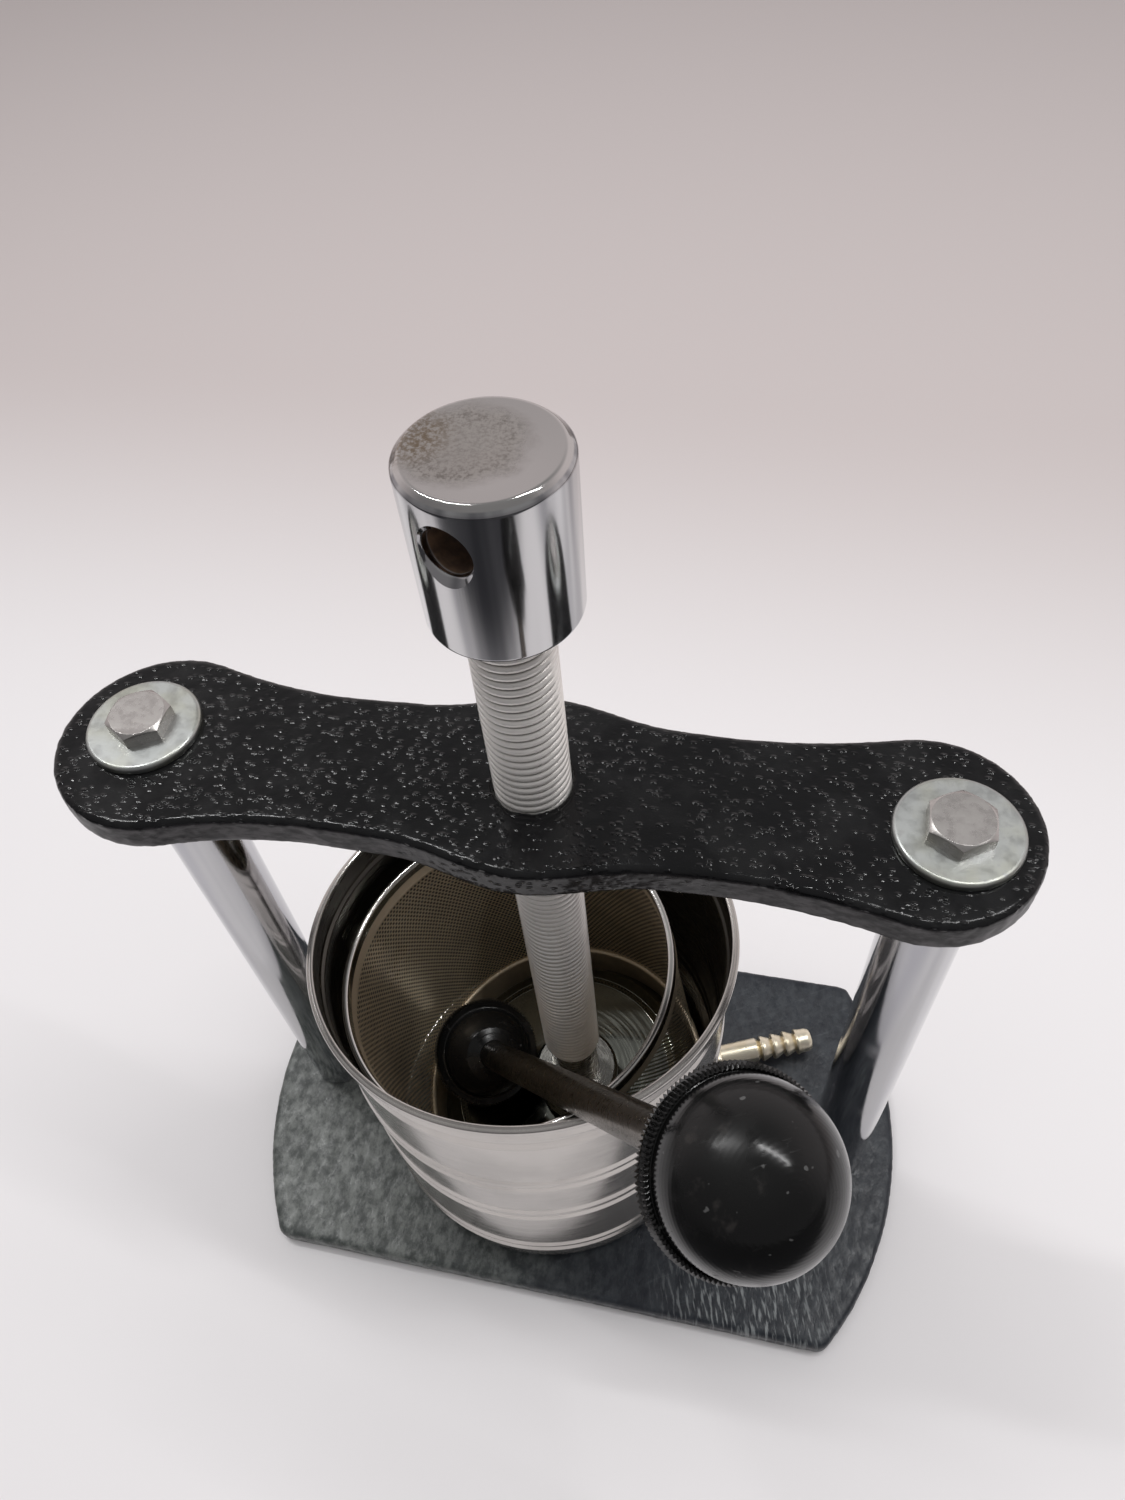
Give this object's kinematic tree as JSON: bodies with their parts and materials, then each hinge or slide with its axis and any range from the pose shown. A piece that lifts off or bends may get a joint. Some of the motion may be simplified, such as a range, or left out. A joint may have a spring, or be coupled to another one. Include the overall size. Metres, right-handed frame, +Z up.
{
  "type": "fruit press",
  "caption": "Bench screw press: base plate, two pillars and crossbar carry a screw over a perforated basket in a drained vessel, with a loose T-bar.",
  "frame": {"origin": "middle of the base plate's underside, on the surface the press stands on", "axes": "+X along the crossbar to the right, -Y to the front, +Z up along the press screw"},
  "size_m": [0.25, 0.1745, 0.3315],
  "materials": {
    "black_paint": "gloss textured",
    "chrome_plate": "polished",
    "steel": "turned",
    "zinc_plate": "zinc",
    "stainless": "polished",
    "brass": "turned",
    "rubber": "matt",
    "black_plastic": "moulded"
  },
  "bodies": {
    "frame": {"base_plate": "black_paint", "left_pillar": "chrome_plate", "right_pillar": "chrome_plate", "left_base_screw": "zinc_plate", "right_base_screw": "zinc_plate", "crossbar": "black_paint", "left_top_bolt": "zinc_plate", "right_top_bolt": "zinc_plate", "left_top_washer": "zinc_plate", "right_top_washer": "zinc_plate"},
    "foot": {"press_foot": "steel", "thrust_washer": "brass", "front_grub_screw": "steel", "rear_grub_screw": "steel"},
    "screw": {"press_screw": "steel", "screw_head": "chrome_plate"},
    "vessel": {"vessel": "stainless", "outlet_barb": "brass", "outlet_gasket": "rubber", "outlet_nut": "brass"},
    "basket": {"basket_shell": "stainless", "basket_rim": "stainless", "basket_floor": "stainless"},
    "plate": {"press_plate": "stainless"},
    "handle": {"handle_rod": "steel", "inner_knob": "black_plastic", "outer_knob": "black_plastic", "inner_knob_bush": "brass", "outer_knob_bush": "brass"}
  },
  "joints": [
    {"name": "foot_slide", "type": "slide", "parent": "frame", "child": "foot", "axis": [0, 0, 1], "range_m": [-0.0014, 0.14]},
    {"name": "screw_turn", "type": "hinge", "parent": "foot", "child": "screw", "pos_m": [0.002, 0, 0.06], "axis": [0, 0, 1], "range_deg": [-201.6, 20160]},
    {"name": "vessel_turn", "type": "hinge", "parent": "frame", "child": "vessel", "pos_m": [-0.0098, 0.0008, 0.01], "axis": [0, 0, 1], "range_deg": [-10, 15]},
    {"name": "basket_turn", "type": "hinge", "parent": "vessel", "child": "basket", "pos_m": [-0.0017, 0.0024, 0.0175], "axis": [-0.1197, -0.0479, 0.9917], "continuous": true},
    {"name": "plate_turn", "type": "hinge", "parent": "basket", "child": "plate", "pos_m": [-0.0017, 0.0024, 0.0175], "axis": [-0.1197, -0.0479, 0.9917], "continuous": true},
    {"name": "handle_lift", "type": "slide", "parent": "vessel", "child": "handle", "axis": [0, 0, 1], "range_m": [0, 0.09]}
  ],
  "couplings": [
    {"joint": "screw_turn", "follows": "foot_slide", "rad_per_m": 2513.3}
  ]
}
